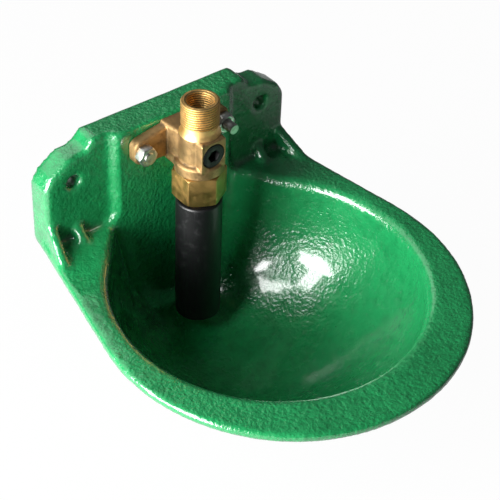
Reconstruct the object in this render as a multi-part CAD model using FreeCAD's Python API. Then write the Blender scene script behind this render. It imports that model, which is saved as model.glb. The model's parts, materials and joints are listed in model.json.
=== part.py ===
import FreeCAD, Part
import math
import os
from FreeCAD import Placement, Rotation, Vector

# Livestock drinking bowl: a cast iron bowl with its wall plate, and a brass tube valve bolted to it.
# Millimetres. The wall is the plane y = 0 and the animal stands at -Y. +Z is up, and x = 0 is the
# plane of symmetry. The origin is midway between the two wall holes, on the wall.
# Depths are measured from the wall towards the animal, so a depth d lies at y = -d.

# Wall plate of the casting
hole_spacing = 160.0
hole_radius = 5.0
hole_countersink = 1.6
boss_radius = 12.0
ear_width = 22.8
plate_top = 28.0
shoulder_width = 38.8
plate_step = 7.8
plate_step_run = 5.5
plate_corner_radius = 6.0
shoulder_run = 13.5
shoulder_fall = 1.5
shoulder_radius = 10.0
shoulder_drop = 19.5
ear_corner_width = 5.0
ear_corner_drop = 8.5
ear_corner_radius = 8.0
plate_depth = 19.2
plate_edge_radius = 3.5
casting_wall = 6.3

# Raised panel that carries the valve
panel_depth = 25.2
panel_bolt_margin = 14.75
panel_side_slope = 5.0
panel_corner_radius = 5.0
panel_foot_width = 11.0
panel_edge_radius = 2.0

# Rim, tilted a little so that spilt water runs to the front
rim_drop = 43.8
rim_slope = 0.05
rim_thickness = 7.7
rim_radius = 128.0
rim_round_start = 16.2
rim_side_width = 21.5
rim_front_width = 36.1
rim_edge_radius = 2.6
rim_corner_radius = 0.1
lip_radius = 7.0

# Inside of the bowl, measured in the rim's own plane
bowl_depth = 98.0
bowl_roundness = 2.4
back_roundness = 12.0
back_half_width = 54.0
back_taper = 0.20
back_lean = 0.085
back_corner_radius = 9.0
bowl_underside_fillet = 5.0

# Box behind the bowl that rests on the wall below the rim
foot_box_drop = 112.0

# Gussets from the ears of the plate down to the rim
outer_gusset_width = 8.0
outer_gusset_reach = 27.0
outer_gusset_height = 17.0
inner_gusset_width = 8.0
inner_gusset_reach = 12.5
inner_gusset_height = 12.0
inner_gusset_inset = 23.3
gusset_edge_radius = 2.4
gusset_sink = 0.6

# Brass valve body
valve_depth = 51.5
inlet_top = 52.4
inlet_thread_radius = 13.22
inlet_thread_length = 18.4
inlet_chamfer = 1.2
inlet_neck_radius = 12.6
inlet_neck_flare = 1.8
socket_radius = 9.32
socket_length = 14.2
strainer_seat_depth = 1.0
strainer_seat_clearance = 0.1
strainer_bore_radius = 7.6
strainer_bore_length = 7.4
passage_radius = 5.0
block_top = 27.4
block_bottom = 6.4
block_front = 15.7
block_front_half_width = 10.0
block_rear_half_width = 13.7
block_edge = 1.4
block_skirt = 3.0
collar_radius = 17.4
collar_height = 9.0
collar_edge = 1.4
collar_thread_radius = 14.0
collar_thread_length = 9.9
chamber_radius = 9.0
chamber_top = 4.5
counterbore_radius = 11.0
counterbore_length = 6.0

# Flange of the valve body and its fastenings
flange_bolt_margin = 6.75
flange_thickness = 8.0
flange_inner_top = 25.4
flange_outer_top = 20.8
flange_inner_bottom = 1.4
flange_outer_bottom = 2.8
flange_edge_radius = 1.2
flange_corner_radius = 6.4
bolt_spacing = 66.5
bolt_height = 12.0
bolt_radius = 4.0
bolt_hole_radius = 4.5
bolt_pad_radius = 9.0
bolt_pad_height = 1.5
bolt_head_flats = 13.0
bolt_head_height = 5.3
bolt_end_chamfer = 0.8
nut_flats = 13.0
nut_height = 6.5
nut_face_inset = 0.3
nut_corner_slope = 0.6
left_bolt_excess = 1.2
right_bolt_excess = 8.0
rear_washer_radius = 8.0
rear_washer_height = 1.6
washer_clearance = 0.2

# Union nut, which holds the rocking tube up
union_flats = 33.0
union_height = 21.9
union_lip = 3.0
union_lip_radius = 10.7
union_chamfer = 1.6
thread_clearance = 0.05

# Rocker: a ring on the nut's lip, a ball head in the ring, the tube screwed to the head
ring_radius = 12.6
ring_height = 3.2
ball_radius = 10.8
ball_clearance = 0.15
ball_centre_rise = 4.9
head_plate = 2.5
head_hub_radius = 2.4
head_water_hole_radius = 1.4
head_water_hole_circle = 4.2
head_water_holes = 5
head_cavity_radius = 6.2
head_bore_radius = 4.8
neck_radius = 7.5
neck_gap = 3.6
head_blend = 1.5
spigot_length = 8.0
tube_radius = 16.4
tube_wall = 2.6
tube_floor_room = 15.125
tube_top_edge = 1.6
tube_end_edge = 0.9

# Valve seat and pin
seat_flange_height = 3.5
seat_nozzle_radius = 6.2
seat_nozzle_height = 1.6
seat_nozzle_flare = 0.8
seat_orifice_radius = 4.5
seat_spider_radius = 2.9
seat_spider_width = 1.6
seat_spider_height = 2.5
lock_ring_bore_radius = 6.5
lock_ring_slot = 2.2
lock_ring_slot_depth = 1.2
ring_thread_clearance = 0.05
pin_radius = 1.5
pin_tip_gap = 0.3
pin_clearance = 0.06
pin_edge = 0.5
pin_head_radius = 7.4
pin_head_height = 1.5
pin_stub_height = 3.4
disc_radius = 7.1
disc_height = 1.7
disc_washer_radius = 3.7
disc_washer_height = 0.8
pin_clip_radius = 2.7
pin_clip_height = 0.6
pin_groove_depth = 0.4
spring_wire_radius = 0.45
spring_mean_radius = 6.2
spring_turns = 3.5
spring_end_gap = 0.02

# Flow adjusting screw
flow_height = 15.1
flow_radius = 9.0
flow_clearance = 0.05
flow_length = 9.7
flow_travel = 3.0
flow_end_room = 0.3
flow_seal_place = 7.0
flow_nose_radius = 3.0
flow_nose_length = 4.0
flow_nose_edge = 1.0
flow_socket_flats = 8.0
flow_socket_depth = 6.0
flow_edge = 0.6

# Seals of round section
cord_radius = 0.95
seal_gap = 0.03
seal_side_gap = 0.1

# Strainer in the inlet
strainer_brim_radius = 8.6
strainer_brim_height = 0.8
strainer_cup_radius = 6.6
strainer_cup_depth = 6.6
strainer_wall = 0.6
strainer_slots = 8
strainer_slot_width = 1.8

# Places worked out from the sizes above
plate_half_width = hole_spacing / 2 + ear_width
plate_step_half_width = plate_half_width - shoulder_width
inner_gusset_place = plate_half_width - inner_gusset_inset
panel_half_width = bolt_spacing / 2 + panel_bolt_margin
plate_front = -plate_depth
panel_front = -panel_depth
rim_wall_height = -rim_drop
rim_angle = math.degrees(math.atan(rim_slope))
rim_centre_depth = rim_round_start + rim_radius
bowl_radius = rim_radius - rim_side_width
bowl_centre_depth = rim_centre_depth + rim_side_width - rim_front_width
valve_y = -valve_depth
block_front_y = valve_y - block_front
flange_front = panel_front - flange_thickness
flange_half_length = bolt_spacing / 2 + flange_bolt_margin
collar_bottom = block_bottom - collar_height
thread_bottom = collar_bottom - collar_thread_length
union_top = collar_bottom
union_bottom = union_top - union_height
lip_top = union_bottom + union_lip
ball_centre = lip_top + ball_centre_rise
tube_top = union_bottom - neck_gap
tube_bottom = rim_wall_height - rim_slope * valve_depth - bowl_depth + tube_floor_room
socket_floor = inlet_top - socket_length
strainer_seat = socket_floor - strainer_seat_depth
strainer_floor = strainer_seat - strainer_bore_length
seat_shoulder = thread_bottom + counterbore_length
seat_bottom = seat_shoulder - seat_flange_height
seat_seal_height = (seat_bottom + seat_shoulder) / 2
nozzle_top = seat_shoulder + seat_nozzle_height
disc_top = nozzle_top + disc_height
pin_head_top = disc_top + pin_head_height
panel_inner_face = -(panel_depth - casting_wall)
flow_rest_end = block_front_y + flow_length
flow_bore_end = flow_rest_end + flow_travel + flow_end_room
flow_seal_y = block_front_y + flow_seal_place
pad_face = panel_inner_face + bolt_pad_height
bolt_head_face = pad_face + rear_washer_height
washer_bottom = nozzle_top - disc_washer_height

# How far a cutter runs past the face that it cuts
past = 1.0
rim_overrun = 4.0


def rounded_polygon(corners, to_space):
    """Closed wire through (a, b, radius) corners, each rounded by its radius; to_space places (a, b)."""
    count = len(corners)
    ends = []
    for i in range(count):
        a, b, radius = corners[i]
        here = Vector(a, b, 0)
        before = (Vector(corners[i - 1][0], corners[i - 1][1], 0) - here).normalize()
        after = (Vector(corners[(i + 1) % count][0], corners[(i + 1) % count][1], 0) - here).normalize()
        if radius <= 0:
            ends.append((here, None, here))
            continue
        half = before.getAngle(after) / 2
        cut = radius / math.tan(half)
        middle = (before + after).normalize()
        centre = here + middle * (radius / math.sin(half))
        ends.append((here + before * cut, centre - middle * radius, here + after * cut))
    edges = []
    for i in range(count):
        start, bend, end = ends[i]
        if bend is not None:
            arc = Part.Arc(to_space(start.x, start.y), to_space(bend.x, bend.y), to_space(end.x, end.y))
            edges.append(arc.toShape())
        following = ends[(i + 1) % count][0]
        if (following - end).Length > 1e-6:
            side = Part.LineSegment(to_space(end.x, end.y), to_space(following.x, following.y))
            edges.append(side.toShape())
    return Part.Wire(edges)


def in_elevation(y):
    """Places (a, b) as x and z in the upright plane at y."""
    return lambda a, b: Vector(a, y, b)


def prism(wire, along):
    return Part.Face(wire).extrude(along)


def disc(radius, z_low, z_high, x=0.0, y=valve_y):
    """Upright round bar between two heights."""
    return Part.makeCylinder(radius, z_high - z_low, Vector(x, y, z_low))


def bar_y(radius, y_front, y_back, x, z):
    """Round bar that points at the wall."""
    return Part.makeCylinder(radius, y_back - y_front, Vector(x, y_front, z), Vector(0, 1, 0))


def revolve(corners, x=0.0, y=valve_y):
    """Turned piece from (radius, height, corner radius) corners, about the upright axis at x, y."""
    wire = rounded_polygon(corners, lambda a, b: Vector(x + a, y, b))
    return Part.Face(wire).revolve(Vector(x, y, 0), Vector(0, 0, 1), 360)


def corner_radius(flats):
    """Distance from the middle of a hexagon to its corners."""
    return flats / 2 / math.cos(math.radians(30))


def hexagon(flats, z_low, z_high, first_corner=90.0, x=0.0, y=valve_y):
    """Upright hexagonal bar."""
    radius = corner_radius(flats)
    points = []
    for i in range(7):
        turn = math.radians(first_corner + 60 * i)
        points.append(Vector(x + radius * math.cos(turn), y + radius * math.sin(turn), z_low))
    return prism(Part.makePolygon(points), Vector(0, 0, z_high - z_low))


def hexagon_y(flats, y_front, y_back, x, z, first_corner=0.0):
    """Hexagonal bar that points at the wall."""
    bar = hexagon(flats, 0, y_back - y_front, first_corner, 0, 0)
    bar.Placement = Placement(Vector(x, y_front, z), Rotation(Vector(1, 0, 0), -90))
    return bar


def mirrored(shape):
    return shape.mirror(Vector(0, 0, 0), Vector(1, 0, 0))


def rim_frame(shape):
    """Tilts a shape made about z = 0 into the plane of the rim, hinged where the rim meets the wall."""
    placed = shape.copy()
    placed.rotate(Vector(0, 0, 0), Vector(1, 0, 0), rim_angle)
    placed.translate(Vector(0, 0, rim_wall_height))
    return placed


def straight_side(radius, centre_depth, corner):
    """Point where the straight side from a back corner touches the round front."""
    centre = Vector(0, -centre_depth, corner.z)
    out = corner - centre
    touch = math.atan2(out.y, out.x) - math.acos(radius / out.Length)
    return centre + Vector(math.cos(touch), math.sin(touch), 0) * radius


def horseshoe(z, radius, centre_depth, back_depth, back_half, corner_radius):
    """Level outline: a round front, two tangents, and a straight back with rounded corners."""
    corner = Vector(back_half, -back_depth, z)
    tangent = straight_side(radius, centre_depth, corner)
    turn = math.atan2(corner.y - tangent.y, tangent.x - corner.x)
    cut = corner_radius * math.tan(turn / 2)
    side = (tangent - corner).normalize()
    arc_centre = corner + Vector(-cut, -corner_radius, 0)
    aim = math.pi / 2 - turn / 2
    bend = arc_centre + Vector(math.cos(aim), math.sin(aim), 0) * corner_radius
    start = corner - Vector(cut, 0, 0)
    leave = corner + side * cut
    front = Vector(0, -centre_depth - radius, z)

    def flip(p):
        return Vector(-p.x, p.y, p.z)

    edges = [
        Part.LineSegment(flip(start), start).toShape(),
        Part.Arc(start, bend, leave).toShape(),
        Part.LineSegment(leave, tangent).toShape(),
        Part.Arc(tangent, front, flip(tangent)).toShape(),
        Part.LineSegment(flip(tangent), flip(leave)).toShape(),
        Part.Arc(flip(leave), flip(bend), flip(start)).toShape(),
    ]
    return Part.Wire(edges)


def rounded_share(share, power):
    """How much of its full reach a rounded wall still has at a share of the depth."""
    return (1 - share**power) ** (1 / power)


def bowl_measures(depth, full_depth, extra):
    """Front radius, back depth, half width of the back and corner radius of the bowl, grown by extra."""
    share = depth / full_depth
    radius = (bowl_radius + extra) * rounded_share(share, bowl_roundness)
    back = panel_depth + back_lean * depth - extra
    reach = (bowl_centre_depth - back) * rounded_share(share, back_roundness)
    half = (back_half_width + extra - back_taper * depth) * rounded_share(share, 4.0)
    corner = back_corner_radius * (1 + share) * rounded_share(share, 3.0)
    return radius, bowl_centre_depth - reach, half, corner


def bowl_form(top, full_depth, extra):
    """Solid of the bowl from the depth top down to its nearly flat floor."""
    steps = 8
    floor_share = 0.99
    first = math.asin(top / full_depth)
    last = math.asin(floor_share)
    wires = []
    for i in range(steps):
        depth = full_depth * math.sin(first + (last - first) * i / (steps - 1))
        radius, back, half, corner = bowl_measures(depth, full_depth, extra)
        wires.append(horseshoe(-depth, radius, bowl_centre_depth, back, half, corner))
    return Part.makeLoft(wires, True, False)


def lip_form():
    """Rounded mouth of the bowl, from the rim's top face down to the start of the wall."""
    steps = 6
    radius, back, half, corner = bowl_measures(lip_radius, bowl_depth, 0)
    wires = []
    for i in range(steps):
        angle = math.pi / 2 * i / (steps - 1)
        grown = lip_radius * (1 - math.sin(angle))
        rise = lip_radius * math.cos(angle)
        back_here = back - back_lean * rise
        sizes = (radius + grown, bowl_centre_depth, back_here, half + grown, corner)
        wires.append(horseshoe(rise - lip_radius, *sizes))
    return Part.makeLoft(wires, True, True)


def edges_where(shape, test):
    return [edge for edge in shape.Edges if test(edge)]


def edge_middle(edge):
    return edge.valueAt((edge.FirstParameter + edge.LastParameter) / 2)


def lies_on(edge, axis, value):
    """True if both ends and the middle of an edge have that coordinate."""
    points = [v.Point for v in edge.Vertexes] + [edge_middle(edge)]
    return all(abs(p[axis] - value) < 1e-3 for p in points)


def plate_outline(inset, bottom):
    """Wall plate seen from the front: a raised middle, a small step each side and sloping shoulders."""
    half = plate_half_width - inset
    step = plate_step_half_width - inset
    top = plate_top - inset
    shoulder = top - plate_step
    right = [
        (step, top, plate_corner_radius),
        (step + plate_step_run, shoulder, plate_corner_radius - 1.0),
        (step + plate_step_run + shoulder_run, shoulder - shoulder_fall, shoulder_radius),
        (half - ear_corner_width, shoulder - shoulder_drop + ear_corner_drop, ear_corner_radius),
        (half, shoulder - shoulder_drop, ear_corner_radius),
        (half, bottom, 0.0),
    ]
    left = [(-a, b, r) for a, b, r in reversed(right)]
    return right + left


def panel_outline(half):
    """Raised panel seen from the front, with a flared foot where it meets the rim."""
    rim_here = rim_wall_height - rim_slope * panel_depth
    right = [
        (half, plate_top, panel_corner_radius),
        (half, rim_here, panel_foot_width),
        (half + panel_foot_width, rim_here, 0.0),
        (half + panel_foot_width, rim_here - rim_thickness / 2, 0.0),
    ]
    left = [(-a, b, r) for a, b, r in reversed(right)]
    return right + left


def wall_plate():
    """Solid wall plate with its rounded front edge."""
    bottom = rim_wall_height - rim_thickness / 2
    plate = prism(rounded_polygon(plate_outline(0, bottom), in_elevation(0)), Vector(0, plate_front, 0))
    front = edges_where(plate, lambda e: lies_on(e, 1, plate_front) and not lies_on(e, 2, bottom))
    return plate.makeFillet(plate_edge_radius, front)


def raised_panel():
    """Solid panel whose sides slope back to the ears of the plate."""
    rear_depth = plate_depth - plate_edge_radius - 2.0
    step = panel_depth - plate_depth
    rear_half = panel_half_width + panel_side_slope * (panel_depth - rear_depth) / step
    front = rounded_polygon(panel_outline(panel_half_width), in_elevation(panel_front))
    rear = rounded_polygon(panel_outline(rear_half), in_elevation(-rear_depth))
    panel = Part.makeLoft([front, rear], True, True)
    low = rim_wall_height - rim_slope * panel_depth - 0.1
    edges = edges_where(panel, lambda e: lies_on(e, 1, panel_front) and edge_middle(e).z > low)
    return panel.makeFillet(panel_edge_radius, edges)


def gusset_wedge(x_top, x_foot, width, reach, height):
    """Triangular rib from the front of an ear down to the rim, on the +X side."""
    top = rim_wall_height + height
    low = rim_wall_height - rim_thickness / 2 - rim_slope * (plate_depth + reach)
    root = plate_front + plate_edge_radius / 2
    tip = plate_front - reach
    tip_height = rim_wall_height + rim_slope * tip - gusset_sink
    wires = []
    for shift in (0.0, -width):
        points = [
            Vector(x_top + shift, root, top),
            Vector(x_foot + shift, tip, tip_height),
            Vector(x_foot + shift, tip, low),
            Vector(x_top + shift, root, low),
        ]
        wires.append(Part.makePolygon(points + points[:1]))
    return Part.makeLoft(wires, True, True)


def rounded_gusset(wedge):
    """Rounds the two long edges along the top of a gusset."""

    def slants(edge):
        ends = [v.Point for v in edge.Vertexes]
        runs_down = (ends[0].z - ends[1].z) * (ends[0].y - ends[1].y) > 1.0
        return runs_down and edge_middle(edge).z > rim_wall_height

    return wedge.makeFillet(gusset_edge_radius, edges_where(wedge, slants))


def gussets():
    """Two gussets on each ear: a long one along the edge and a short one beside the panel."""
    side = rim_half_width(plate_depth + outer_gusset_reach) - rim_edge_radius / 2
    sizes = (outer_gusset_width, outer_gusset_reach, outer_gusset_height)
    outer = gusset_wedge(plate_half_width, side, *sizes)
    x = inner_gusset_place + inner_gusset_width / 2
    inner = gusset_wedge(x, x, inner_gusset_width, inner_gusset_reach, inner_gusset_height)
    right = [rounded_gusset(outer), rounded_gusset(inner)]
    return right + [mirrored(s) for s in right]


def rim_back_corner():
    """Back corner of the rim's outline, a little behind the wall plane, where it is trimmed off."""
    return Vector(plate_half_width - rim_edge_radius / 2, rim_overrun, 0)


def rim_half_width(depth):
    """Half the width of the rim at a depth, along its straight side."""
    corner = rim_back_corner()
    tangent = straight_side(rim_radius, rim_centre_depth, corner)
    share = (corner.y + depth) / (corner.y - tangent.y)
    return corner.x + (tangent.x - corner.x) * share


def foot_box(inset):
    """Box behind the bowl that reaches back to the wall, or its hollow when inset by the wall."""
    top = rim_wall_height - rim_thickness / 2
    bottom = -foot_box_drop + inset
    half_top = back_half_width + casting_wall / 2 - inset
    half_bottom = half_top - back_taper * (foot_box_drop - rim_drop)
    corners = [(half_top, top), (half_bottom, bottom), (-half_bottom, bottom), (-half_top, top)]
    rear = 0.0 if inset == 0 else past
    front = panel_front - casting_wall - back_lean * foot_box_drop
    wire = Part.makePolygon([Vector(a, rear, b) for a, b in corners + corners[:1]])
    return prism(wire, Vector(0, front - rear, 0))


def bowl_outside():
    """Solid of the bowl out to the outer face of its wall, in the rim's plane."""
    return bowl_form(lip_radius / 2, bowl_depth + casting_wall, casting_wall)


def rear_hollow():
    """Room behind the plate and the panel, open to the wall; its front follows the outside of the bowl."""
    ears = rounded_polygon(plate_outline(casting_wall, rim_wall_height), in_elevation(past))
    ears = prism(ears, Vector(0, -(plate_depth - casting_wall) - past, 0))
    half = panel_half_width
    low = rim_wall_height - rim_thickness
    size = (2 * half, past - panel_inner_face, plate_top - casting_wall - low)
    middle = Part.makeBox(*size, Vector(-half, panel_inner_face, low))
    return ears.fuse([middle, foot_box(casting_wall).cut(rim_frame(bowl_outside()))])


def rim_and_bowl():
    """Rim with its rounded edges, and the outside of the bowl under it, with a fillet between them."""
    corner = rim_back_corner()
    outline = horseshoe(0, rim_radius, rim_centre_depth, -corner.y, corner.x, rim_corner_radius)
    rim = prism(outline, Vector(0, 0, -rim_thickness))
    levels = (0, -rim_thickness)
    long_edges = edges_where(rim, lambda e: any(lies_on(e, 2, z) for z in levels) and edge_middle(e).y < 0)
    rim = rim.makeFillet(rim_edge_radius, long_edges)
    rim_middles = [edge_middle(edge) for edge in rim.Edges]
    shell = rim.fuse(bowl_outside()).removeSplitter()

    def joins_bowl(edge):
        middle = edge_middle(edge)
        own = any(middle.distanceToPoint(other) < 0.01 for other in rim_middles)
        return lies_on(edge, 2, -rim_thickness) and middle.y < panel_front and not own

    return rim_frame(shell.makeFillet(bowl_underside_fillet, edges_where(shell, joins_bowl)))


def bowl_casting():
    """Bowl, rim and wall plate, cast in one piece with a hollow back."""
    body = rim_and_bowl().fuse([foot_box(0), wall_plate(), raised_panel()] + gussets())
    body = body.cut(rim_frame(bowl_form(lip_radius, bowl_depth, 0)))
    body = body.cut(rim_frame(lip_form()))
    behind_wall = Part.makeBox(4 * rim_radius, 4 * rim_overrun, 4 * rim_radius)
    behind_wall.translate(Vector(-2 * rim_radius, 0, -2 * rim_radius))
    body = body.cut(behind_wall)
    body = body.cut(rear_hollow())
    for x in (-hole_spacing / 2, hole_spacing / 2):
        body = body.fuse(bar_y(boss_radius, plate_front + casting_wall / 2, 0, x, 0))
    pad_root = panel_inner_face - casting_wall / 2
    for x in (-bolt_spacing / 2, bolt_spacing / 2):
        body = body.fuse(bar_y(bolt_pad_radius, pad_root, pad_face, x, bolt_height))
    body = body.removeSplitter()
    for x in (-hole_spacing / 2, hole_spacing / 2):
        body = body.cut(bar_y(hole_radius, plate_front - past, past, x, 0))
    for x in (-bolt_spacing / 2, bolt_spacing / 2):
        body = body.cut(bar_y(bolt_hole_radius, panel_front - past, pad_face + past, x, bolt_height))
    rim_length = 2 * math.pi * hole_radius
    mouths = edges_where(body, lambda e: lies_on(e, 1, plate_front) and abs(e.Length - rim_length) < 0.1)
    return body.makeFillet(hole_countersink, mouths)


def valve_block():
    """Block in the middle of the valve body, narrow in front and wider towards the plate."""
    front = block_front_half_width
    rear = block_rear_half_width
    root = panel_front
    corners = [(-rear, root), (-rear, flange_front), (-front, block_front_y)]
    plan = corners + [(-a, b) for a, b in reversed(corners)]
    low = block_bottom - block_skirt
    wire = Part.makePolygon([Vector(a, b, low) for a, b in plan + plan[:1]])
    block = prism(wire, Vector(0, 0, block_top - low))
    forward = edges_where(block, lambda e: lies_on(e, 2, block_top) and edge_middle(e).y < flange_front)
    return block.makeChamfer(block_edge, forward)


def valve_flange():
    """Two tapered wings that lie on the panel and take the bolts."""
    root = block_rear_half_width - flange_edge_radius
    right = [
        (root, flange_inner_top, 0.0),
        (flange_half_length, flange_outer_top, flange_corner_radius),
        (flange_half_length, flange_outer_bottom, flange_corner_radius),
        (root, flange_inner_bottom, 0.0),
    ]
    left = [(-a, b, r) for a, b, r in reversed(right)]
    plate = prism(rounded_polygon(right + left, in_elevation(panel_front)), Vector(0, -flange_thickness, 0))
    front = edges_where(plate, lambda e: lies_on(e, 1, flange_front))
    return plate.makeChamfer(flange_edge_radius, front)


def valve_body():
    """Brass body: inlet stub above, block with the flow screw, collar with the union thread below."""
    neck_top = inlet_top - inlet_thread_length
    shoulder = inlet_neck_radius + inlet_neck_flare
    thread_end = collar_thread_radius - 1.0
    body = revolve([
        (0, inlet_top, 0),
        (inlet_thread_radius - inlet_chamfer, inlet_top, 0),
        (inlet_thread_radius, inlet_top - inlet_chamfer, 0),
        (inlet_thread_radius, neck_top, 0),
        (inlet_neck_radius, neck_top - inlet_chamfer, 0),
        (inlet_neck_radius, block_top + inlet_neck_flare, 0),
        (shoulder, block_top, 0),
        (shoulder, block_bottom, 0),
        (collar_radius - collar_edge, block_bottom, 0),
        (collar_radius, block_bottom - collar_edge, 0),
        (collar_radius, collar_bottom, 0),
        (collar_thread_radius, collar_bottom, 0),
        (collar_thread_radius, thread_bottom + 1.0, 0),
        (thread_end, thread_bottom, 0),
        (0, thread_bottom, 0),
    ])
    low = collar_bottom + collar_edge
    half = block_rear_half_width
    saddle = Part.makeBox(2 * half, panel_front - valve_y, block_bottom - low, Vector(-half, valve_y, low))
    body = body.fuse([valve_block(), valve_flange(), saddle])
    body = body.cut([
        disc(socket_radius, socket_floor, inlet_top + past),
        disc(strainer_brim_radius + strainer_seat_clearance, strainer_seat, socket_floor + past),
        disc(strainer_bore_radius, strainer_floor, strainer_seat + past),
        disc(passage_radius, chamber_top - past, strainer_floor + past),
        disc(chamber_radius, seat_shoulder - past, chamber_top),
        disc(counterbore_radius, thread_bottom - past, seat_shoulder),
        bar_y(flow_radius + flow_clearance, block_front_y - past, flow_bore_end, 0, flow_height),
    ])
    for x in (-bolt_spacing / 2, bolt_spacing / 2):
        body = body.cut(bar_y(bolt_hole_radius, flange_front - past, panel_front + past, x, bolt_height))
    return body.removeSplitter()


def union_nut():
    """Hexagonal nut on the collar, with an inner lip that carries the rocking tube."""
    corner = corner_radius(union_flats)
    rise = union_chamfer * 0.6
    nut = hexagon(union_flats, union_bottom, union_top)
    turned = revolve([
        (0, union_bottom, 0),
        (corner - union_chamfer, union_bottom, 0),
        (corner, union_bottom + rise, 0),
        (corner, union_top - rise, 0),
        (corner - union_chamfer, union_top, 0),
        (0, union_top, 0),
    ])
    nut = nut.common(turned)
    bore = disc(collar_thread_radius + thread_clearance, lip_top, union_top + past)
    return nut.cut([bore, disc(union_lip_radius, union_bottom - past, lip_top + past)])


def rocker_ring():
    """Ring on the lip of the nut, hollowed to a ball seat; it rocks on its front edge."""
    ring = disc(ring_radius, lip_top, lip_top + ring_height)
    seat = Part.makeSphere(ball_radius + ball_clearance, Vector(0, valve_y, ball_centre))
    return ring.cut(seat)


def rocker_head():
    """Brass ball head that hangs in the ring; water runs through its holes into the tube."""
    root = neck_radius + head_blend
    spigot_bottom = tube_top - spigot_length
    ball_cut = ball_centre - math.sqrt(ball_radius**2 - root**2)
    ball = Part.makeSphere(ball_radius, Vector(0, valve_y, ball_centre))
    ball = ball.common(disc(ball_radius + past, ball_cut, ball_centre))
    blend = Part.makeCone(neck_radius, root, head_blend, Vector(0, valve_y, ball_cut - head_blend))
    head = ball.fuse([blend, disc(neck_radius, spigot_bottom, ball_cut)])
    cavity_top = ball_centre - head_plate
    cavity_bottom = ball_cut + head_blend / 2
    head = head.cut([
        disc(head_cavity_radius, cavity_bottom, cavity_top),
        disc(head_bore_radius, spigot_bottom - past, cavity_bottom + past),
    ])
    holes = []
    for i in range(head_water_holes):
        turn = 2 * math.pi * i / head_water_holes
        x = head_water_hole_circle * math.cos(turn)
        y = valve_y + head_water_hole_circle * math.sin(turn)
        holes.append(disc(head_water_hole_radius, cavity_top - past, ball_centre + past, x, y))
    return head.cut(holes).removeSplitter()


def drinking_tube():
    """Black tube that the animal pushes, screwed to the spigot of the head and open below."""
    inner = tube_radius - tube_wall
    bore = neck_radius + thread_clearance
    thread_end = tube_top - spigot_length
    return revolve([
        (bore, tube_top, 0),
        (tube_radius, tube_top, tube_top_edge),
        (tube_radius, tube_bottom, tube_end_edge),
        (inner, tube_bottom, tube_end_edge),
        (inner, thread_end, tube_wall),
        (bore, thread_end, 0),
    ])


def seat_insert():
    """Plastic valve seat with a raised nozzle and a spider that guides the pin."""
    outer = counterbore_radius - ring_thread_clearance
    groove = outer - 2 * cord_radius - seal_gap
    seat = revolve([
        (seat_orifice_radius, seat_bottom, 0),
        (outer, seat_bottom, 0),
        (outer, seat_seal_height - cord_radius, 0),
        (groove, seat_seal_height - cord_radius, 0),
        (groove, seat_seal_height + cord_radius, 0),
        (outer, seat_seal_height + cord_radius, 0),
        (outer, seat_shoulder, 0),
        (seat_nozzle_radius + seat_nozzle_flare, seat_shoulder, 0),
        (seat_nozzle_radius, nozzle_top, 0),
        (seat_orifice_radius, nozzle_top, 0),
    ])
    top = seat_bottom + seat_spider_height
    parts = [disc(seat_spider_radius, seat_bottom, top)]
    for i in range(3):
        reach = seat_orifice_radius + 0.5
        arm = Part.makeBox(reach, seat_spider_width, seat_spider_height)
        arm.translate(Vector(0, valve_y - seat_spider_width / 2, seat_bottom))
        arm.rotate(Vector(0, valve_y, 0), Vector(0, 0, 1), 90 + 120 * i)
        parts.append(arm)
    seat = seat.fuse(parts)
    return seat.cut(disc(pin_radius + pin_clearance, seat_bottom - past, top + past)).removeSplitter()


def lock_ring():
    """Threaded ring that holds the seat insert in the collar, with two spanner slots."""
    ring = disc(counterbore_radius - ring_thread_clearance, thread_bottom, seat_bottom)
    ring = ring.cut(disc(lock_ring_bore_radius, thread_bottom - past, seat_bottom + past))
    slot = Part.makeBox(2 * counterbore_radius, lock_ring_slot, lock_ring_slot_depth)
    slot.translate(Vector(-counterbore_radius, valve_y - lock_ring_slot / 2, thread_bottom))
    return ring.cut(slot)


def valve_pin():
    """Stainless pin: its head carries the sealing disc and its tip stands on the rocker head."""
    tip = ball_centre + pin_tip_gap
    stub_top = pin_head_top + pin_stub_height
    groove_top = washer_bottom
    groove_bottom = washer_bottom - pin_clip_height
    groove = pin_radius - pin_groove_depth
    return revolve([
        (0, tip, 0),
        (pin_radius - pin_edge, tip, 0),
        (pin_radius, tip + pin_edge, 0),
        (pin_radius, groove_bottom, 0),
        (groove, groove_bottom, 0),
        (groove, groove_top, 0),
        (pin_radius, groove_top, 0),
        (pin_radius, disc_top, 0),
        (pin_head_radius, disc_top, 0),
        (pin_head_radius, pin_head_top, 0),
        (pin_radius, pin_head_top, 0),
        (pin_radius, stub_top - pin_edge, 0),
        (pin_radius - pin_edge, stub_top, 0),
        (0, stub_top, 0),
    ])


def sealing_disc():
    """Rubber disc under the head of the pin, which closes the nozzle."""
    return disc(disc_radius, nozzle_top, disc_top).cut(disc(pin_radius, nozzle_top - past, disc_top + past))


def disc_washer():
    """Washer that holds the sealing disc flat from below."""
    washer = disc(disc_washer_radius, washer_bottom, nozzle_top)
    return washer.cut(disc(pin_radius, washer_bottom - past, nozzle_top + past))


def pin_clip():
    """Open spring clip in the groove of the pin, which carries the washer."""
    low = washer_bottom - pin_clip_height
    clip = disc(pin_clip_radius, low, washer_bottom)
    clip = clip.cut(disc(pin_radius - pin_groove_depth, low - past, washer_bottom + past))
    mouth = Part.makeBox(pin_radius, pin_clip_radius, pin_clip_height)
    mouth.translate(Vector(-pin_radius / 2, valve_y - pin_clip_radius, low))
    return clip.cut(mouth)


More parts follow.
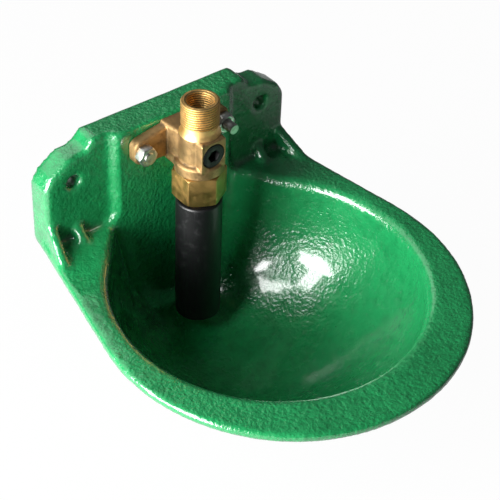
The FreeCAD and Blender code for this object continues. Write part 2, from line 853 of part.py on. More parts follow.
def valve_spring():
    """Spring of round wire between the roof of the chamber and the head of the pin."""
    low = pin_head_top + spring_wire_radius + spring_end_gap
    high = chamber_top - spring_wire_radius - spring_end_gap
    helix = Part.makeHelix((high - low) / spring_turns, high - low, spring_mean_radius)
    start = helix.Edges[0].valueAt(helix.Edges[0].FirstParameter)
    circle = Part.Wire([Part.makeCircle(spring_wire_radius, start, Vector(0, 1, 0))])
    spring = Part.Wire(helix.Edges).makePipeShell([circle], True, True)
    spring.translate(Vector(0, valve_y, low))
    return spring


def flow_screw():
    """Plastic screw with a hexagon socket, a seal groove and a nose that throttles the water."""
    end = flow_rest_end
    tip = end + flow_nose_length
    groove = flow_radius - 2 * cord_radius - seal_gap
    groove_half = cord_radius + seal_side_gap
    corners = [
        (0, block_front_y, 0),
        (flow_radius - flow_edge, block_front_y, 0),
        (flow_radius, block_front_y + flow_edge, 0),
        (flow_radius, flow_seal_y - groove_half, 0),
        (groove, flow_seal_y - groove_half, 0),
        (groove, flow_seal_y + groove_half, 0),
        (flow_radius, flow_seal_y + groove_half, 0),
        (flow_radius, end, 0),
        (flow_nose_radius, end, 0),
        (flow_nose_radius, tip - flow_nose_edge, 0),
        (flow_nose_radius - flow_nose_edge, tip, 0),
        (0, tip, 0),
    ]
    wire = rounded_polygon(corners, lambda a, b: Vector(a, b, flow_height))
    screw = Part.Face(wire).revolve(Vector(0, 0, flow_height), Vector(0, 1, 0), 360)
    socket_end = block_front_y + flow_socket_depth
    return screw.cut(hexagon_y(flow_socket_flats, block_front_y - past, socket_end, 0, flow_height))


def flow_seal():
    """O-ring round the flow screw."""
    cord = cord_radius - seal_side_gap / 5
    middle = Vector(0, flow_seal_y, flow_height)
    return Part.makeTorus(flow_radius - cord_radius, cord, middle, Vector(0, 1, 0))


def seat_seal():
    """O-ring round the seat insert."""
    cord = cord_radius - seal_side_gap / 5
    major = counterbore_radius - ring_thread_clearance - cord_radius
    return Part.makeTorus(major, cord, Vector(0, valve_y, seat_seal_height), Vector(0, 0, 1))


def strainer():
    """Thimble strainer that hangs by its brim in the inlet, with long slots round its wall."""
    brim_top = strainer_seat + strainer_brim_height
    floor = strainer_seat - strainer_cup_depth
    outer = strainer_cup_radius
    inner = outer - strainer_wall
    cup = revolve([
        (inner, brim_top, 0),
        (strainer_brim_radius, brim_top, 0),
        (strainer_brim_radius, strainer_seat, 0),
        (outer, strainer_seat, 0),
        (outer, floor, strainer_wall),
        (0, floor, 0),
        (0, floor + strainer_wall, 0),
        (inner, floor + strainer_wall, 0),
    ])
    band = 2 * strainer_wall
    slots = []
    for i in range(strainer_slots):
        slot = Part.makeBox(outer, strainer_slot_width, strainer_cup_depth - 2 * band)
        slot.translate(Vector(outer / 2, valve_y - strainer_slot_width / 2, floor + band))
        slot.rotate(Vector(0, valve_y, 0), Vector(0, 0, 1), 360 / strainer_slots * i)
        slots.append(slot)
    return cup.cut(slots)


def flange_bolt(x, excess):
    """Hexagon bolt put in from behind the panel, which stands out of its nut by the excess."""
    tip = flange_front - nut_height - excess
    shank = bar_y(bolt_radius, tip, bolt_head_face, x, bolt_height)
    shank = shank.makeChamfer(bolt_end_chamfer, edges_where(shank, lambda e: lies_on(e, 1, tip)))
    head = hexagon_y(bolt_head_flats, bolt_head_face, bolt_head_face + bolt_head_height, x, bolt_height)
    return shank.fuse(head).removeSplitter()


def flange_bolt_left():
    """Short bolt, whose end is nearly flush with its nut."""
    return flange_bolt(-bolt_spacing / 2, left_bolt_excess)


def flange_bolt_right():
    """Longer bolt, whose end stands well out of its nut."""
    return flange_bolt(bolt_spacing / 2, right_bolt_excess)


def rear_washers():
    """Washers between the bolt heads and the pads behind the panel."""
    washers = []
    for x in (-bolt_spacing / 2, bolt_spacing / 2):
        washer = bar_y(rear_washer_radius, pad_face, bolt_head_face, x, bolt_height)
        hole = bar_y(bolt_radius + washer_clearance, pad_face - past, bolt_head_face + past, x, bolt_height)
        washers.append(washer.cut(hole))
    return Part.makeCompound(washers)


def flange_nuts():
    """Hexagon nuts on the bolts, with their outer corners turned off."""
    corner = corner_radius(nut_flats)
    front = flange_front - nut_height
    nuts = []
    for x in (-bolt_spacing / 2, bolt_spacing / 2):
        nut = hexagon_y(nut_flats, front, flange_front, x, bolt_height)
        start = Vector(x, front, bolt_height)
        mouth = nut_flats / 2 - nut_face_inset
        length = 2 * corner * nut_corner_slope
        nut = nut.common(Part.makeCone(mouth, mouth + 2 * corner, length, start, Vector(0, 1, 0)))
        nuts.append(nut.cut(bar_y(bolt_radius, front - past, flange_front + past, x, bolt_height)))
    return Part.makeCompound(nuts)


pieces = {
    "bowl_casting": bowl_casting,
    "valve_body": valve_body,
    "union_nut": union_nut,
    "rocker_ring": rocker_ring,
    "rocker_head": rocker_head,
    "drinking_tube": drinking_tube,
    "seat_insert": seat_insert,
    "seat_seal": seat_seal,
    "seat_lock_ring": lock_ring,
    "valve_pin": valve_pin,
    "sealing_disc": sealing_disc,
    "disc_washer": disc_washer,
    "pin_clip": pin_clip,
    "valve_spring": valve_spring,
    "flow_screw": flow_screw,
    "flow_screw_seal": flow_seal,
    "inlet_strainer": strainer,
    "flange_bolt_left": flange_bolt_left,
    "flange_bolt_right": flange_bolt_right,
    "flange_nuts": flange_nuts,
    "rear_washers": rear_washers,
}

os.makedirs("parts", exist_ok=True)
for name, make in pieces.items():
    shape = make()
    if not shape.isValid():
        raise ValueError(name + " is not a valid solid")
    shape.exportStep("parts/" + name + ".step")
    print(name, len(shape.Solids), round(shape.Volume, 1))
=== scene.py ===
import json
import math

import bpy
from mathutils import Euler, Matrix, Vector


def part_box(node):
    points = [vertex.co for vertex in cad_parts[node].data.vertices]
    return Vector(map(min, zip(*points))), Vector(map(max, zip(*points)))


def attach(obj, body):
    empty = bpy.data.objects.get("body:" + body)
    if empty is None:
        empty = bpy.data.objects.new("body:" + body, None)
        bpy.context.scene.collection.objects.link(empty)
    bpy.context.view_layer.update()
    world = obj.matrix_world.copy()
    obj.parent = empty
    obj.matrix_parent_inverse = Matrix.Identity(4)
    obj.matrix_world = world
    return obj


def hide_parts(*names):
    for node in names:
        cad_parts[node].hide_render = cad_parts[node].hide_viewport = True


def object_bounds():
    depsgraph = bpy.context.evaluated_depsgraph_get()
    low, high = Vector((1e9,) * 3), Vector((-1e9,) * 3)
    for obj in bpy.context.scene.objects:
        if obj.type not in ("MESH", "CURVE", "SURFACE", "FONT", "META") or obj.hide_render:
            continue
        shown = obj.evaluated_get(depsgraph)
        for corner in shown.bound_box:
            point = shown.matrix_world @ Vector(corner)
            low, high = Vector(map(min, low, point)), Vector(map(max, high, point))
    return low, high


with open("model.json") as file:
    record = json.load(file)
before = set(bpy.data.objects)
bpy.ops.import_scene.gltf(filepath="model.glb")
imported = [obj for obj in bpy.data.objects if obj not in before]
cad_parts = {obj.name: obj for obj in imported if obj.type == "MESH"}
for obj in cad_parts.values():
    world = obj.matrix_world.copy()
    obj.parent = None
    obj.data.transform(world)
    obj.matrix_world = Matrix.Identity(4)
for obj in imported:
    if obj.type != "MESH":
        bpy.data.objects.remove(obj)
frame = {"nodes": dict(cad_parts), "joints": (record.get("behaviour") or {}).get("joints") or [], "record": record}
cad_low, cad_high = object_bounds()

# Looks of a livestock drinking bowl: green enamel on cast iron, a cast and turned brass valve,
# zinc plated fastenings and a black tube. Metres, in the part's own frame: the wall is y = 0.

bl_info = {
    "name": "Livestock drinking bowl",
    "version": (1, 0, 0),
    "blender": (4, 5, 0),
    "location": "3D View > Sidebar > Drinking bowl",
    "description": "Dresses the drinking bowl's parts and lights them on a plain stage",
    "category": "Object",
}

mounts = {mount["name"]: mount for mount in frame["record"]["mounts"]}
joints = {joint["name"]: joint for joint in frame["joints"]}
valve_y = joints["tube_side"]["pos_m"][1]
inlet_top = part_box("valve_body")[1].z
thread_radius = mounts["inlet_thread"]["dims"]["r_mm"] / 1000
thread_length = mounts["inlet_thread"]["dims"]["length_mm"] / 1000
thread_foot = mounts["inlet_thread"]["pos_m"][2] - thread_length / 2
bore_radius = mounts["inlet_socket"]["dims"]["r_mm"] / 1000
bore_length = mounts["inlet_socket"]["dims"]["length_mm"] / 1000

# Vertices closer than this are one vertex.
merge_distance = 1e-6

# How far a blank that trims a thread stands past its roots and crests.
blank_room = 0.001

zinc_grey = (0.60, 0.61, 0.58)
zinc_stain = (0.30, 0.27, 0.20)

# Name, place, width, height and watts of each lamp; all of them point at the bowl's middle.
lamps = (
    ("window_lamp", (-1.1, -0.14, 0.2), 0.85, 0.5, 34.0),
    ("upper_lamp", (-1.15, -0.14, 0.85), 0.42, 0.6, 12.0),
    ("sky_lamp", (-0.3, 1.2, 1.3), 2.2, 1.0, 7.0),
)
bowl_middle = (0, -0.12, -0.06)


def box_middle(node):
    """Centre of a CAD node's box."""
    low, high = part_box(node)
    return low.lerp(high, 0.5)


bolt_places = [box_middle(node).x for node in ("flange_bolt_left", "flange_bolt_right")]
bolt_height = box_middle("flange_bolt_left").z


def colour_property(name, description, default):
    return bpy.props.FloatVectorProperty(
        name=name, description=description, default=default, subtype="COLOR", size=3, min=0.0, max=1.0
    )


def length_property(name, description, default):
    return bpy.props.FloatProperty(
        name=name, description=description, default=default, unit="LENGTH", precision=5
    )


def share_property(name, description, default):
    return bpy.props.FloatProperty(
        name=name, description=description, default=default, subtype="FACTOR", min=0.0, max=1.0
    )


class EnamelLook(bpy.types.PropertyGroup):
    """Colours and surface of the green enamel on the casting."""

    green: colour_property("Green", "Enamel where it lies at its usual thickness", (0.012, 0.262, 0.078))
    # Deep green is used for thick enamel in random patches, and in concave corners as painted shade.
    deep_green: colour_property("Deep green", "Enamel where it has pooled", (0.004, 0.135, 0.038))
    iron: colour_property("Bare iron", "Rusty iron where the enamel is worn off", (0.13, 0.052, 0.022))
    voxel: length_property("Mesh size", "Size of the mesh that the rough casting is made with", 0.0018)
    waviness: length_property("Waviness", "Depth of the slow unevenness of the casting", 0.0005)
    side_slope: share_property("Side slope", "How far the sides of the bowl are drawn in at its floor", 0.18)
    front_slope: share_property("Front slope", "How far the front of the bowl is drawn in at its floor", 0.22)
    peel: length_property("Orange peel", "Height of the fine unevenness of the enamel", 0.0005)
    wear: share_property("Wear", "How much of the sharp edges has lost its enamel", 0.0)


class BrassLook(bpy.types.PropertyGroup):
    """Colours and surface of the valve's brass."""

    cast: colour_property("Cast brass", "Dull skin of the cast body", (0.33, 0.215, 0.095))
    # Bright brass is the turned brass; on the cast body's sharp edges it is worn brass and partly a painted
    # highlight.
    bright: colour_property("Bright brass", "Turned and worn brass", (0.95, 0.62, 0.23))
    milled: colour_property("Milled brass", "Tarnished flats of the nut", (0.60, 0.36, 0.12))
    # The colour below is dark brown painted shade for the corners of the cast body and the grooves of the pipe
    # threads.
    recess_shade: colour_property("Grime", "Brown dirt in the corners", (0.045, 0.026, 0.012))
    voxel: length_property("Mesh size", "Size of the mesh that the cast body is made with", 0.00055)
    grain: length_property("Sand grain", "Depth of the grain that the sand mould leaves", 0.00012)


class ThreadSizes(bpy.types.PropertyGroup):
    """Pitches and depths of the threads that show."""

    pipe_pitch: length_property("Pipe pitch", "Pitch of both pipe threads", 0.001814)
    pipe_depth: length_property("Pipe depth", "Depth of both pipe threads", 0.00105)
    bolt_pitch: length_property("Bolt pitch", "Pitch of the bolts' thread", 0.00125)
    bolt_depth: length_property("Bolt depth", "Depth of the bolts' thread", 0.0006)


class StageLook(bpy.types.PropertyGroup):
    """Floor, lamps and camera."""

    floor: colour_property("Floor", "Colour of the plain floor", (0.62, 0.62, 0.62))
    lens: bpy.props.FloatProperty(
        name="Lens", description="Focal length in millimetres", default=111.2, min=1.0
    )


class Socket:
    """One output of a shader node, so that shader maths can be written as expressions."""

    def __init__(self, graph, output):
        self.graph = graph
        self.output = output

    def maths(self, operation, *values):
        return self.graph.add("ShaderNodeMath", {"operation": operation}, [self, *values])[0]

    def __add__(self, other):
        return self.maths("ADD", other)

    def __sub__(self, other):
        return self.maths("SUBTRACT", other)

    def __mul__(self, other):
        return self.maths("MULTIPLY", other)

    def __rsub__(self, other):
        return self.graph.add("ShaderNodeMath", {"operation": "SUBTRACT"}, [other, self])[0]

    __radd__ = __add__
    __rmul__ = __mul__

    def power(self, exponent):
        return self.maths("POWER", exponent)

    def most(self, other):
        return self.maths("MAXIMUM", other)

    def steps(self, low, high, to_low=0.0, to_high=1.0):
        """Goes smoothly from to_low to to_high while the value goes from low to high."""
        settings = {"interpolation_type": "SMOOTHSTEP", "clamp": True}
        if high < low:
            low, high, to_low, to_high = high, low, to_high, to_low
        return self.graph.add("ShaderNodeMapRange", settings, [self, low, high, to_low, to_high])[0]


class Graph:
    """A material's node tree, with one method that adds any node."""

    def __init__(self, name):
        self.material = bpy.data.materials.new(name)
        self.material.use_nodes = True
        self.tree = self.material.node_tree
        self.tree.nodes.clear()
        self.place = self.add("ShaderNodeTexCoord")["Object"]

    def add(self, kind, settings=None, values=()):
        """Adds a node, sets it, then feeds its sockets by order or by name; returns its outputs."""
        node = self.tree.nodes.new(kind)
        for key, value in (settings or {}).items():
            setattr(node, key, value)
        named = values.items() if isinstance(values, dict) else enumerate(values)
        for key, value in named:
            self.feed(node.inputs[key], value)
        return Outputs(self, node)

    def feed(self, socket, value):
        if isinstance(value, Socket):
            self.tree.links.new(value.output, socket)
        elif socket.type == "RGBA":
            socket.default_value = (*value, 1.0) if len(value) == 3 else value
        else:
            socket.default_value = value

    def mix(self, factor, first, second):
        """Colour between two colours, which a Mix node takes in its sockets 6 and 7 and gives in 2."""
        settings = {"data_type": "RGBA", "clamp_factor": True}
        node = self.add("ShaderNodeMix", settings, {0: factor, 6: first, 7: second})
        return Socket(self, node.node.outputs[2])

    def noise(self, scale, detail=2.0, roughness=0.5, place=None):
        values = {
            "Vector": place or self.place,
            "Scale": scale,
            "Detail": detail,
            "Roughness": roughness,
        }
        return self.add("ShaderNodeTexNoise", {}, values)[0]

    def cells(self, scale):
        """Distance to the nearest of scattered points."""
        values = {"Vector": self.place, "Scale": scale}
        return self.add("ShaderNodeTexVoronoi", {"feature": "F1"}, values)["Distance"]

    def stretched(self, x, y, z):
        """The piece's own coordinates, stretched by three factors."""
        values = {"Vector": self.place, "Scale": (x, y, z)}
        return self.add("ShaderNodeMapping", {"vector_type": "POINT"}, values)[0]

    def axes(self):
        parts = self.add("ShaderNodeSeparateXYZ", {}, [self.place])
        return parts[0], parts[1], parts[2]

    def edges(self):
        """Above one half on sharp edges and below it in corners."""
        return self.add("ShaderNodeNewGeometry")["Pointiness"]

    def bump(self, height, distance):
        """Normal of a surface raised by a height from 0 to 1, times a distance in metres."""
        values = {"Strength": 1.0, "Distance": distance, "Height": height}
        return self.add("ShaderNodeBump", {}, values)[0]

    def finish(self, values):
        """Ends the material in one Principled shader."""
        shader = self.add("ShaderNodeBsdfPrincipled", {}, values)
        self.add("ShaderNodeOutputMaterial", {}, {"Surface": shader[0]})
        return self.material


class Outputs:
    """The outputs of a node, by order or by name."""

    def __init__(self, graph, node):
        self.graph = graph
        self.node = node

    def __getitem__(self, key):
        return Socket(self.graph, self.node.outputs[key])


def enamel_material(look):
    """Glossy green enamel brushed over rough cast iron, worn through on a few edges."""
    edge_highlight_green = (0.05, 0.33, 0.13)
    dark_rust = (0.035, 0.02, 0.014)
    pit_green = (0.01, 0.035, 0.015)
    chip_start = 0.86 - 0.1 * look.wear
    graph = Graph("green_enamel")
    broad = graph.noise(17.0, 2.0)
    pool = graph.noise(140.0, 2.0, 0.6)
    edge = graph.edges()
    in_corner = edge.steps(0.50, 0.44)
    on_edge = edge.steps(0.53, 0.60)
    depth = (broad * 0.5 + pool * 0.5).steps(0.15, 0.62)
    green = graph.mix(depth, tuple(look.deep_green), tuple(look.green))
    # Painted shade: concave corners are darkened towards deep green.
    green = graph.mix(in_corner * 0.45, green, tuple(look.deep_green))
    # Painted highlight: sharp edges are lightened towards a paler green.
    green_with_lit_edges = graph.mix(on_edge * 0.35, green, edge_highlight_green)
    chip_noise = graph.noise(150.0, 4.0, 0.65)
    rare = graph.noise(21.0, 1.0)
    chips = (chip_noise + on_edge * 0.16 + rare * 0.25).steps(chip_start, chip_start + 0.04)
    pits = graph.cells(190.0).steps(0.10, 0.05) * rare.steps(0.52, 0.62)
    rust = graph.mix(graph.noise(600.0, 3.0), tuple(look.iron), dark_rust)
    colour = graph.mix(chips, green_with_lit_edges, rust)
    colour = graph.mix(pits * 0.7, colour, pit_green)
    lumps = graph.noise(170.0, 2.0, 0.5)
    peel = graph.noise(400.0, 2.0, 0.45)
    grain = graph.noise(900.0, 2.0, 0.5)
    height = lumps + peel * 1.3 + grain * 0.3 - chips * 0.35 - pits * 0.5
    smear = graph.noise(60.0, 4.0, 0.6)
    roughness = smear.steps(0.3, 0.7, 0.20, 0.30) + chips * 0.45
    return graph.finish({
        "Base Color": colour,
        "Roughness": roughness,
        "Metallic": 0.0,
        "IOR": 1.7,
        "Coat Weight": 1 - chips,
        "Coat Roughness": 0.1,
        "Normal": graph.bump(height, look.peel),
    })


def cast_brass_material(look):
    """Sand cast brass, with painted shade darkening its corners, and edges that are bright partly from wear and
    partly from a painted highlight.
    """
    pale_skin = (0.44, 0.28, 0.12)
    stain = (0.17, 0.10, 0.045)
    graph = Graph("cast_brass")
    edge = graph.edges()
    # Bright edges: partly worn brass, partly a painted highlight on the sharp edges.
    worn = (edge + graph.noise(420.0, 3.0) * 0.10).steps(0.585, 0.66)
    corner = (edge - graph.noise(160.0, 3.0) * 0.10).steps(0.452, 0.40)
    cloud = graph.noise(110.0, 4.0, 0.6)
    skin = graph.mix(cloud.steps(0.35, 0.7), tuple(look.cast), pale_skin)
    stained = graph.mix(graph.noise(300.0, 3.0).steps(0.52, 0.72) * 0.5, skin, stain)
    # Painted shade: the corners are darkened to dark brown, and below they are also made less metallic and
    # rougher.
    corner_shaded = graph.mix(corner * 0.9, stained, tuple(look.recess_shade))
    colour = graph.mix(worn, corner_shaded, tuple(look.bright))
    grain = graph.noise(1500.0, 2.0, 0.6) * 0.5 + graph.noise(640.0, 2.0, 0.5)
    roughness = cloud.steps(0.3, 0.7, 0.46, 0.62) - worn * 0.18 + corner * 0.2
    return graph.finish({
        "Base Color": colour,
        "Roughness": roughness,
        "Metallic": (1 - corner * 0.6) * 0.92,
        "Normal": graph.bump(grain, look.grain),
    })


def thread_grooves(graph, sizes):
    """1 in the grooves of both pipe threads, by the distance from the valve's axis."""
    crest_side = 0.0005
    root_side = 0.0001
    past_root = 0.0003
    x, y = graph.axes()[:2]
    across = y - valve_y
    radius = (x * x + across * across).power(0.5)
    outer_root = thread_radius - sizes.pipe_depth
    inner_root = bore_radius + sizes.pipe_depth
    outer = radius.steps(outer_root + crest_side, outer_root + root_side)
    outer = outer * radius.steps(outer_root - past_root, outer_root)
    inner = radius.steps(inner_root - crest_side, inner_root - root_side)
    inner = inner * radius.steps(inner_root + past_root, inner_root)
    return outer.most(inner)


def turned_brass_material(look, name, base, across, sizes=None):
    """Turned brass with fine tool marks round the valve's axis, and painted shade in its thread's grooves."""
    spot_brown = (0.22, 0.12, 0.05)
    mark_depth = 0.00004
    graph = Graph(name)
    marks = graph.noise(1.0, 2.0, 0.6, graph.stretched(*across))
    cloud = graph.noise(180.0, 3.0, 0.6)
    tarnish = graph.noise(70.0, 4.0, 0.65).steps(0.48, 0.72)
    colour = graph.mix(tarnish * 0.5, tuple(base), tuple(0.6 * c for c in base))
    spots = graph.noise(520.0, 2.0).steps(0.66, 0.78)
    colour = graph.mix(spots * 0.25, colour, spot_brown)
    roughness = cloud.steps(0.3, 0.7, 0.30, 0.44) + tarnish * 0.12 + marks * 0.08
    if sizes is not None:
        # Painted shade: the grooves of the pipe threads are darkened to dark brown and made rougher.
        grooves = thread_grooves(graph, sizes)
        colour = graph.mix(grooves * 0.85, colour, tuple(look.recess_shade))
        roughness = roughness + grooves * 0.2
    height = marks * 0.6 + graph.noise(900.0, 2.0) * 0.3
    return graph.finish({
        "Base Color": colour,
        "Roughness": roughness,
        "Metallic": 1.0,
        "Normal": graph.bump(height, mark_depth),
    })


def black_tube_material():
    """Satin black tube with faint scuffs down its length and a little dust."""
    black = (0.003, 0.0032, 0.0036)
    dusty = (0.009, 0.0095, 0.010)
    scuffed = (0.035, 0.036, 0.038)
    scuff_depth = 0.00005
    graph = Graph("black_tube")
    scuffs = graph.noise(1.0, 4.0, 0.7, graph.stretched(900.0, 900.0, 45.0)).steps(0.60, 0.74)
    dust = graph.noise(140.0, 4.0, 0.65).steps(0.48, 0.75)
    colour = graph.mix(dust * 0.5, black, dusty)
    colour = graph.mix(scuffs * 0.45, colour, scuffed)
    roughness = dust.steps(0.0, 1.0, 0.42, 0.55) + scuffs * 0.12
    height = graph.noise(520.0, 3.0) * 0.6 + scuffs * 0.4
    return graph.finish({
        "Base Color": colour,
        "Roughness": roughness,
        "Metallic": 0.0,
        "Normal": graph.bump(height, scuff_depth),
    })


def moulded_material(name, colour, second, shine):
    """Moulded plastic or rubber with a fine even grain and a few rubbed patches."""
    grain_depth = 0.00003
    graph = Graph(name)
    rubbed = graph.noise(230.0, 3.0, 0.6).steps(0.45, 0.7)
    grain = graph.noise(1900.0, 2.0, 0.5)
    return graph.finish({
        "Base Color": graph.mix(rubbed, colour, second),
        "Roughness": rubbed.steps(0.0, 1.0, shine, shine + 0.14),
        "Metallic": 0.0,
        "IOR": 1.4,
        "Normal": graph.bump(grain, grain_depth),
    })


def plated_material(name, colour, stain, rough):
    """Plated or stainless steel with faint drawing marks and stains."""
    mark_depth = 0.00004
    graph = Graph(name)
    stains = graph.noise(260.0, 4.0, 0.65).steps(0.46, 0.72)
    marks = graph.noise(1.0, 2.0, 0.5, graph.stretched(2400.0, 300.0, 2400.0))
    pits = graph.cells(1500.0).steps(0.16, 0.08)
    return graph.finish({
        "Base Color": graph.mix(stains * 0.7 + pits * 0.3, colour, stain),
        "Roughness": stains.steps(0.0, 1.0, rough, rough + 0.18) + marks * 0.06,
        "Metallic": 1.0,
        "Normal": graph.bump(marks * 0.7 + stains * 0.3, mark_depth),
    })


def floor_material(colour):
    """Plain pale floor that the camera sees almost white, with the object's soft shadow."""
    white_share = 0.97
    graph = Graph("pale_floor")
    faint = graph.noise(3.0, 2.0)
    tint = graph.mix(faint, colour, tuple(0.985 * c for c in colour))
    matt = graph.add("ShaderNodeBsdfDiffuse", {}, {"Color": tint})
    white = graph.add("ShaderNodeEmission", {}, {"Color": (1.0, 1.0, 1.0), "Strength": 1.0})
    rays = graph.add("ShaderNodeLightPath")
    seen = rays["Is Camera Ray"] * white_share
    mixed = graph.add("ShaderNodeMixShader", {}, {0: seen, 1: matt[0], 2: white[0]})
    graph.add("ShaderNodeOutputMaterial", {}, {"Surface": mixed[0]})
    return graph.material


def select_only(*chosen):
    """Selects these objects and nothing else, the first as the active one."""
    bpy.ops.object.select_all(action="DESELECT")
    for item in chosen:
        item.select_set(True)
    bpy.context.view_layer.objects.active = chosen[0]


def remeshed(piece, voxel):
    """Makes a piece of one even mesh, with its edges softened."""
    modified(piece, "REMESH", mode="VOXEL", voxel_size=voxel, adaptivity=0.0, use_smooth_shade=True)
    modified(piece, "SMOOTH", factor=0.5, iterations=3)


def roughened(piece, name, patch, depth):
    """Sinks a piece's surface in cloudy patches of one size, up to a depth, and shades it smooth."""
    clouds = bpy.data.textures.new(name, "CLOUDS")
    clouds.noise_scale = patch
    clouds.noise_depth = 2
    modified(piece, "DISPLACE", texture=clouds, texture_coords="LOCAL", strength=depth, mid_level=1.0)
    select_only(piece)
    bpy.ops.object.shade_smooth()


def modified(piece, kind, **settings):
    """Adds one modifier to a piece and applies it."""
    select_only(piece)
    modifier = piece.modifiers.new(kind.title(), kind)
    for key, value in settings.items():
        setattr(modifier, key, value)
    bpy.ops.object.modifier_apply(modifier=modifier.name)
    return piece


def merged_copy(node, name):
    """A copy of a CAD node's mesh as a piece of its own, with its doubles merged."""
    piece = bpy.data.objects.new(name, frame["nodes"][node].data.copy())
    bpy.context.scene.collection.objects.link(piece)
    piece.data.name = name
    piece.data.materials.clear()
    select_only(piece)
    bpy.ops.mesh.customdata_custom_splitnormals_clear()
    bpy.ops.object.mode_set(mode="EDIT")
    bpy.ops.mesh.select_all(action="SELECT")
    bpy.ops.mesh.remove_doubles(threshold=merge_distance)
    bpy.ops.object.mode_set(mode="OBJECT")
    return piece


def pick(piece, test):
    """Selects in edit mode the vertices of a piece that pass a test, and leaves it in edit mode."""
    select_only(piece)
    mesh = piece.data
    mesh.polygons.foreach_set("select", [False] * len(mesh.polygons))
    mesh.edges.foreach_set("select", [False] * len(mesh.edges))
    mesh.vertices.foreach_set("select", [test(vertex.co) for vertex in mesh.vertices])
    bpy.ops.object.mode_set(mode="EDIT")
    bpy.ops.mesh.select_mode(type="VERT")


def smooth(piece, degrees=35.0):
    """Smooth shading that keeps the sharp edges."""
    select_only(piece)
    bpy.ops.object.shade_smooth_by_angle(angle=math.radians(degrees))


def crisp(piece, width):
    """Rounds the sharp edges of a machined piece a little."""
    flat_angle = math.radians(1.0)
    sharp_angle = math.radians(30.0)
    select_only(piece)
    bpy.ops.object.mode_set(mode="EDIT")
    bpy.ops.mesh.select_all(action="SELECT")
    bpy.ops.mesh.dissolve_limited(angle_limit=flat_angle)
    bpy.ops.object.mode_set(mode="OBJECT")
    modified(
        piece, "BEVEL", width=width, segments=2, limit_method="ANGLE",
        angle_limit=sharp_angle, harden_normals=False, miter_outer="MITER_ARC",
    )
    smooth(piece)
    return piece


def dress(piece, material, slot, body, *nodes):
    """Gives a finished piece its material and its body, and hides the CAD nodes that it stands for."""
    piece.data.materials.clear()
    piece.data.materials.append(material)
    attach(piece, body)
    if nodes:
        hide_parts(*nodes)
    return piece


def turned(name, corners, steps=96):
    """Closed turned shape about the Z axis: a ring is extruded from corner to corner, (radius, height)."""
    radius, height = corners[0]
    bpy.ops.object.select_all(action="DESELECT")
    bpy.ops.mesh.primitive_circle_add(vertices=steps, radius=radius, location=(0, 0, height))
    piece = bpy.context.active_object
    piece.name = name
    bpy.ops.object.transform_apply(location=True, rotation=True, scale=True)
    bpy.ops.object.mode_set(mode="EDIT")
    bpy.ops.mesh.select_all(action="SELECT")
    for next_radius, next_height in list(corners[1:]) + [corners[0]]:
        bpy.ops.mesh.extrude_edges_move(TRANSFORM_OT_translate={"value": (0, 0, next_height - height)})
        share = next_radius / radius
        bpy.ops.transform.resize(value=(share, share, 1), center_override=(0, 0, next_height))
        radius, height = next_radius, next_height
    bpy.ops.mesh.select_all(action="SELECT")
    bpy.ops.mesh.remove_doubles(threshold=merge_distance)
    bpy.ops.mesh.normals_make_consistent(inside=False)
    bpy.ops.object.mode_set(mode="OBJECT")
    return piece


def ridge(name, root, crest, pitch, low, high, steps=72):
    """Helical thread ridge about the Z axis, from one tooth that is screwed round; it may point inwards."""
    sunk_share = 0.35
    foot_share = 0.96
    crest_share = 0.30
    rounding_share = 0.12
    seam_distance = 1e-7
    inner = root - (crest - root) * sunk_share
    middle = (inner + crest) / 2
    bpy.ops.object.select_all(action="DESELECT")
    bpy.ops.mesh.primitive_plane_add(size=1.0, rotation=(math.pi / 2, 0, 0), location=(0, 0, 0))
    piece = bpy.context.active_object
    piece.name = name
    piece.scale = (abs(crest - inner), foot_share * pitch, 1.0)
    piece.location = (middle, 0, low - pitch)
    bpy.ops.object.transform_apply(location=True, rotation=True, scale=True)
    crest_side = 1 if crest > root else -1
    pick(piece, lambda co: (co.x - middle) * crest_side > 0)
    bpy.ops.transform.resize(value=(1, 1, crest_share), center_override=(crest, 0, low - pitch))
    bpy.ops.mesh.bevel(offset=rounding_share * pitch, segments=2, affect="VERTICES")
    bpy.ops.object.mode_set(mode="OBJECT")
    turns = math.ceil((high - low) / pitch) + 2
    modified(
        piece, "SCREW", axis="Z", angle=2 * math.pi, screw_offset=pitch, iterations=turns,
        steps=steps, render_steps=steps, use_merge_vertices=False,
    )
    pick(piece, lambda co: True)
    bpy.ops.mesh.remove_doubles(threshold=seam_distance)
    bpy.ops.mesh.select_all(action="DESELECT")
    bpy.ops.mesh.select_non_manifold(extend=False)
    bpy.ops.mesh.edge_face_add()
    bpy.ops.mesh.select_all(action="SELECT")
    bpy.ops.mesh.normals_make_consistent(inside=False)
    bpy.ops.object.mode_set(mode="OBJECT")
    return piece


def trimmed(piece, blank):
    """Keeps the part of a piece that lies inside a blank, which is used up."""
    modified(piece, "BOOLEAN", object=blank, operation="INTERSECT", solver="EXACT")
    bpy.data.objects.remove(blank)
    return piece


def placed(piece, x, y, z, along_y=False):
    """Moves a piece that was made about the Z axis to its place, and turns it to point at the wall."""
    select_only(piece)
    if along_y:
        piece.rotation_euler = Euler((-math.pi / 2, 0, 0))
    piece.location = (x, y, z)
    bpy.ops.object.transform_apply(location=True, rotation=True, scale=True)
    return piece


def joined(first, *others):
    """Makes one piece of several."""
    select_only(first, *others)
    bpy.ops.object.join()
    return first


